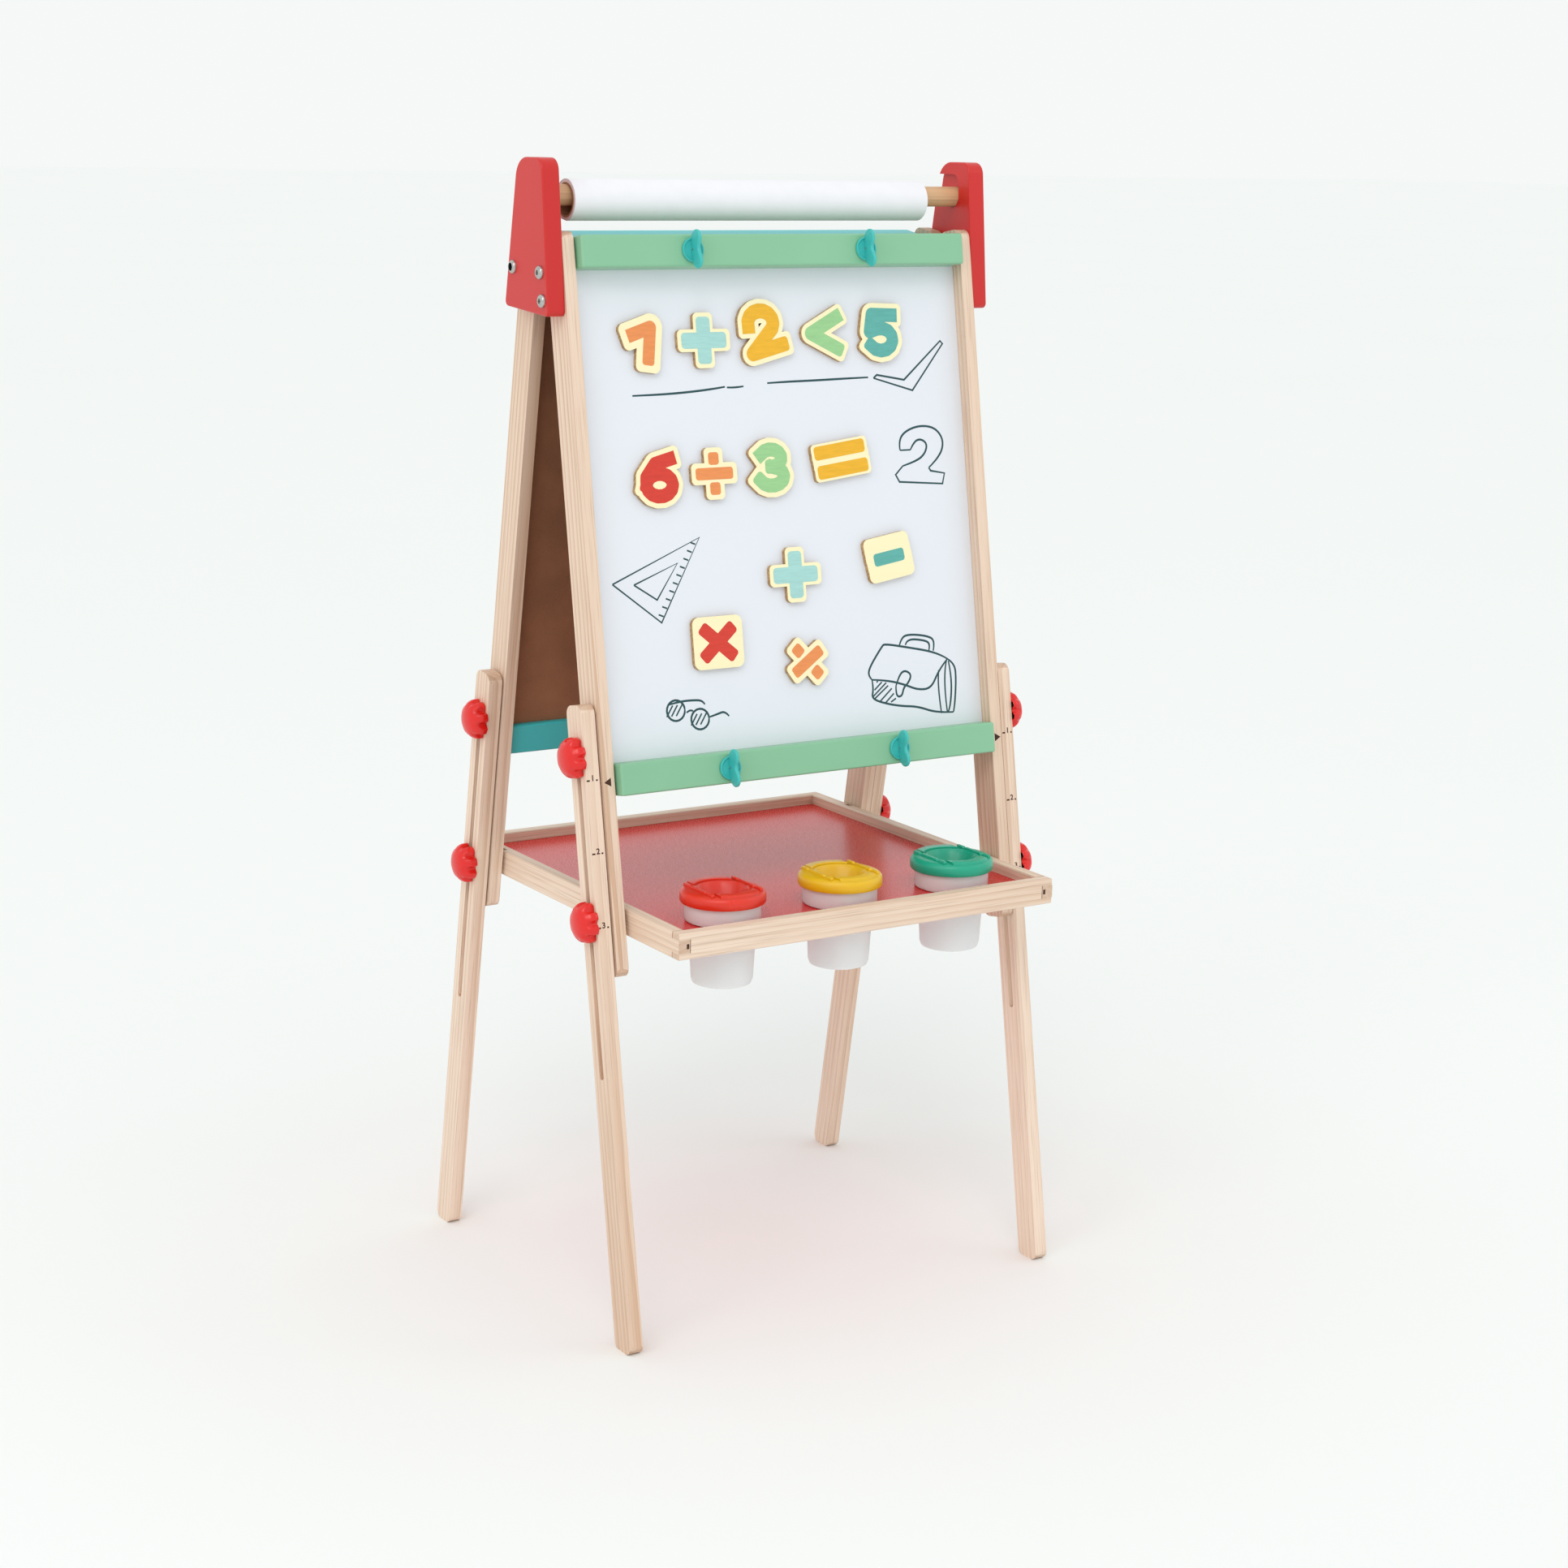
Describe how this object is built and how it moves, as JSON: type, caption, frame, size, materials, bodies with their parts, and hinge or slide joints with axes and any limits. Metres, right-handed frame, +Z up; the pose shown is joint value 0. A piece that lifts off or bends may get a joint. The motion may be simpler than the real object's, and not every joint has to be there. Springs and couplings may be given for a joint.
{
  "type": "kids easel",
  "caption": "Folding double-sided children's easel with a magnetic whiteboard, a chalkboard, a paper roll, a cup tray and legs that slide to set the height",
  "frame": {"origin": "on the floor under the middle of the easel's overall box", "axes": "+Z up, +X to the right of someone facing the whiteboard, -Y towards that person"},
  "size_m": [0.5066, 0.4298, 1.063],
  "materials": {
    "pine": "clear varnished pale pine",
    "red_paint": "satin paint on wood",
    "green_paint": "satin paint on wood",
    "teal_paint": "satin paint on wood",
    "white_lacquer": "glossy dry-wipe lacquer on hardboard",
    "chalkboard_black": "matt chalkboard paint on hardboard",
    "zinc": "bright zinc plating",
    "red_plastic": "glossy moulded",
    "teal_plastic": "satin moulded",
    "frosted_plastic": "translucent moulded",
    "yellow_plastic": "glossy moulded",
    "green_plastic": "glossy moulded",
    "beech": "plain turned",
    "paper": "plain drawing paper",
    "cardboard": "plain tube",
    "red_panel": "glossy lacquer on thin board",
    "cream_tile": "cream printed board"
  },
  "bodies": {
    "front_frame": {"front_upright_left": "pine", "front_upright_right": "pine", "front_rail_top": "green_paint", "front_rail_bottom": "green_paint", "whiteboard": "white_lacquer", "cheek_left": "red_paint", "cheek_right": "red_paint", "cheek_bolts": "zinc", "pivot_bolts": "zinc", "front_leg_bolts": "zinc", "clip_pins": "zinc"},
    "rear_frame": {"rear_upright_left": "pine", "rear_upright_right": "pine", "rear_rail_top": "teal_paint", "rear_rail_bottom": "teal_paint", "chalkboard": "chalkboard_black", "rear_leg_bolts": "zinc"},
    "dowel": {"roll_dowel": "beech"},
    "roll": {"roll_core": "cardboard", "paper_roll": "paper"},
    "tray": {"tray_rail_front": "pine", "tray_rail_rear": "pine", "tray_rail_left": "pine", "tray_rail_right": "pine", "tray_panel": "red_panel"},
    "front_leg_left": {"front_leg_left": "pine"},
    "knob_front_left_upper": {"knob_front_left_upper": "red_plastic"},
    "knob_front_left_lower": {"knob_front_left_lower": "red_plastic"},
    "front_leg_right": {"front_leg_right": "pine"},
    "knob_front_right_upper": {"knob_front_right_upper": "red_plastic"},
    "knob_front_right_lower": {"knob_front_right_lower": "red_plastic"},
    "rear_leg_left": {"rear_leg_left": "pine"},
    "knob_rear_left_upper": {"knob_rear_left_upper": "red_plastic"},
    "knob_rear_left_lower": {"knob_rear_left_lower": "red_plastic"},
    "rear_leg_right": {"rear_leg_right": "pine"},
    "knob_rear_right_upper": {"knob_rear_right_upper": "red_plastic"},
    "knob_rear_right_lower": {"knob_rear_right_lower": "red_plastic"},
    "clip_top_left": {"clip_top_left": "teal_plastic"},
    "clip_top_right": {"clip_top_right": "teal_plastic"},
    "clip_bottom_left": {"clip_bottom_left": "teal_plastic"},
    "clip_bottom_right": {"clip_bottom_right": "teal_plastic"},
    "cup_left": {"cup_left": "frosted_plastic"},
    "lid_left": {"lid_left": "red_plastic"},
    "cup_middle": {"cup_middle": "frosted_plastic"},
    "lid_middle": {"lid_middle": "yellow_plastic"},
    "cup_right": {"cup_right": "frosted_plastic"},
    "lid_right": {"lid_right": "green_plastic"},
    "magnet_one": {"magnet_one": "cream_tile"},
    "magnet_plus_top": {"magnet_plus_top": "cream_tile"},
    "magnet_two": {"magnet_two": "cream_tile"},
    "magnet_less": {"magnet_less": "cream_tile"},
    "magnet_five": {"magnet_five": "cream_tile"},
    "magnet_six": {"magnet_six": "cream_tile"},
    "magnet_divide_upper": {"magnet_divide_upper": "cream_tile"},
    "magnet_three": {"magnet_three": "cream_tile"},
    "magnet_equals": {"magnet_equals": "cream_tile"},
    "magnet_plus_middle": {"magnet_plus_middle": "cream_tile"},
    "magnet_minus": {"magnet_minus": "cream_tile"},
    "magnet_times": {"magnet_times": "cream_tile"},
    "magnet_divide_lower": {"magnet_divide_lower": "cream_tile"}
  },
  "joints": [
    {"name": "rear_fold", "type": "hinge", "parent": "front_frame", "child": "rear_frame", "pos_m": [0, 0.03469, 0.96611], "axis": [-1, 0, 0], "range_deg": [0, 19.2]},
    {"name": "tray_fold", "type": "hinge", "parent": "front_frame", "child": "tray", "pos_m": [0, -0.10988, 0.39096], "axis": [-1, 0, 0], "range_deg": [0, 99.6]},
    {"name": "dowel_lift", "type": "slide", "parent": "front_frame", "child": "dowel", "axis": [0, 0, 1], "range_m": [0, 0.0112]},
    {"name": "roll_spin", "type": "hinge", "parent": "dowel", "child": "roll", "pos_m": [0, 0.00557, 1.0261], "axis": [1, 0, 0], "continuous": true},
    {"name": "front_leg_left_slide", "type": "slide", "parent": "front_frame", "child": "front_leg_left", "axis": [0, 0.1668, 0.986], "range_m": [0, 0.133]},
    {"name": "knob_front_left_upper_turn", "type": "hinge", "parent": "front_frame", "child": "knob_front_left_upper", "pos_m": [-0.2373, -0.08503, 0.53787], "axis": [-1, 0, 0], "continuous": true},
    {"name": "knob_front_left_lower_turn", "type": "hinge", "parent": "front_frame", "child": "knob_front_left_lower", "pos_m": [-0.2373, -0.10988, 0.39096], "axis": [-1, 0, 0], "continuous": true},
    {"name": "front_leg_right_slide", "type": "slide", "parent": "front_frame", "child": "front_leg_right", "axis": [0, 0.1668, 0.986], "range_m": [0, 0.133]},
    {"name": "knob_front_right_upper_turn", "type": "hinge", "parent": "front_frame", "child": "knob_front_right_upper", "pos_m": [0.2373, -0.08503, 0.53787], "axis": [1, 0, 0], "continuous": true},
    {"name": "knob_front_right_lower_turn", "type": "hinge", "parent": "front_frame", "child": "knob_front_right_lower", "pos_m": [0.2373, -0.10988, 0.39096], "axis": [1, 0, 0], "continuous": true},
    {"name": "rear_leg_left_slide", "type": "slide", "parent": "rear_frame", "child": "rear_leg_left", "axis": [0, -0.1668, 0.986], "range_m": [0, 0.133]},
    {"name": "knob_rear_left_upper_turn", "type": "hinge", "parent": "rear_frame", "child": "knob_rear_left_upper", "pos_m": [-0.2373, 0.11118, 0.53787], "axis": [-1, 0, 0], "continuous": true},
    {"name": "knob_rear_left_lower_turn", "type": "hinge", "parent": "rear_frame", "child": "knob_rear_left_lower", "pos_m": [-0.2373, 0.13603, 0.39096], "axis": [-1, 0, 0], "continuous": true},
    {"name": "rear_leg_right_slide", "type": "slide", "parent": "rear_frame", "child": "rear_leg_right", "axis": [0, -0.1668, 0.986], "range_m": [0, 0.133]},
    {"name": "knob_rear_right_upper_turn", "type": "hinge", "parent": "rear_frame", "child": "knob_rear_right_upper", "pos_m": [0.2373, 0.11118, 0.53787], "axis": [1, 0, 0], "continuous": true},
    {"name": "knob_rear_right_lower_turn", "type": "hinge", "parent": "rear_frame", "child": "knob_rear_right_lower", "pos_m": [0.2373, 0.13603, 0.39096], "axis": [1, 0, 0], "continuous": true},
    {"name": "clip_top_left_turn", "type": "hinge", "parent": "front_frame", "child": "clip_top_left", "pos_m": [-0.094, -0.0353, 0.98301], "axis": [0, -0.986, 0.1668], "continuous": true},
    {"name": "clip_top_right_turn", "type": "hinge", "parent": "front_frame", "child": "clip_top_right", "pos_m": [0.094, -0.0353, 0.98301], "axis": [0, -0.986, 0.1668], "continuous": true},
    {"name": "clip_bottom_left_turn", "type": "hinge", "parent": "front_frame", "child": "clip_bottom_left", "pos_m": [-0.094, -0.11368, 0.51959], "axis": [0, -0.986, 0.1668], "continuous": true},
    {"name": "clip_bottom_right_turn", "type": "hinge", "parent": "front_frame", "child": "clip_bottom_right", "pos_m": [0.094, -0.11368, 0.51959], "axis": [0, -0.986, 0.1668], "continuous": true},
    {"name": "cup_left_lift", "type": "slide", "parent": "tray", "child": "cup_left", "axis": [0, 0, 1], "range_m": [0, 0.065]},
    {"name": "lid_left_lift", "type": "slide", "parent": "cup_left", "child": "lid_left", "axis": [0, 0, 1], "range_m": [0, 0.03]},
    {"name": "cup_middle_lift", "type": "slide", "parent": "tray", "child": "cup_middle", "axis": [0, 0, 1], "range_m": [0, 0.065]},
    {"name": "lid_middle_lift", "type": "slide", "parent": "cup_middle", "child": "lid_middle", "axis": [0, 0, 1], "range_m": [0, 0.03]},
    {"name": "cup_right_lift", "type": "slide", "parent": "tray", "child": "cup_right", "axis": [0, 0, 1], "range_m": [0, 0.065]},
    {"name": "lid_right_lift", "type": "slide", "parent": "cup_right", "child": "lid_right", "axis": [0, 0, 1], "range_m": [0, 0.03]},
    {"name": "magnet_one_pull", "type": "slide", "parent": "front_frame", "child": "magnet_one", "axis": [0, -0.986, 0.1668], "range_m": [0, 0.03]},
    {"name": "magnet_plus_top_pull", "type": "slide", "parent": "front_frame", "child": "magnet_plus_top", "axis": [0, -0.986, 0.1668], "range_m": [0, 0.03]},
    {"name": "magnet_two_pull", "type": "slide", "parent": "front_frame", "child": "magnet_two", "axis": [0, -0.986, 0.1668], "range_m": [0, 0.03]},
    {"name": "magnet_less_pull", "type": "slide", "parent": "front_frame", "child": "magnet_less", "axis": [0, -0.986, 0.1668], "range_m": [0, 0.03]},
    {"name": "magnet_five_pull", "type": "slide", "parent": "front_frame", "child": "magnet_five", "axis": [0, -0.986, 0.1668], "range_m": [0, 0.03]},
    {"name": "magnet_six_pull", "type": "slide", "parent": "front_frame", "child": "magnet_six", "axis": [0, -0.986, 0.1668], "range_m": [0, 0.03]},
    {"name": "magnet_divide_upper_pull", "type": "slide", "parent": "front_frame", "child": "magnet_divide_upper", "axis": [0, -0.986, 0.1668], "range_m": [0, 0.03]},
    {"name": "magnet_three_pull", "type": "slide", "parent": "front_frame", "child": "magnet_three", "axis": [0, -0.986, 0.1668], "range_m": [0, 0.03]},
    {"name": "magnet_equals_pull", "type": "slide", "parent": "front_frame", "child": "magnet_equals", "axis": [0, -0.986, 0.1668], "range_m": [0, 0.03]},
    {"name": "magnet_plus_middle_pull", "type": "slide", "parent": "front_frame", "child": "magnet_plus_middle", "axis": [0, -0.986, 0.1668], "range_m": [0, 0.03]},
    {"name": "magnet_minus_pull", "type": "slide", "parent": "front_frame", "child": "magnet_minus", "axis": [0, -0.986, 0.1668], "range_m": [0, 0.03]},
    {"name": "magnet_times_pull", "type": "slide", "parent": "front_frame", "child": "magnet_times", "axis": [0, -0.986, 0.1668], "range_m": [0, 0.03]},
    {"name": "magnet_divide_lower_pull", "type": "slide", "parent": "front_frame", "child": "magnet_divide_lower", "axis": [0, -0.986, 0.1668], "range_m": [0, 0.03]}
  ],
  "couplings": [
    {"joint": "tray_fold", "follows": "rear_fold", "ratio": 5.1875}
  ]
}
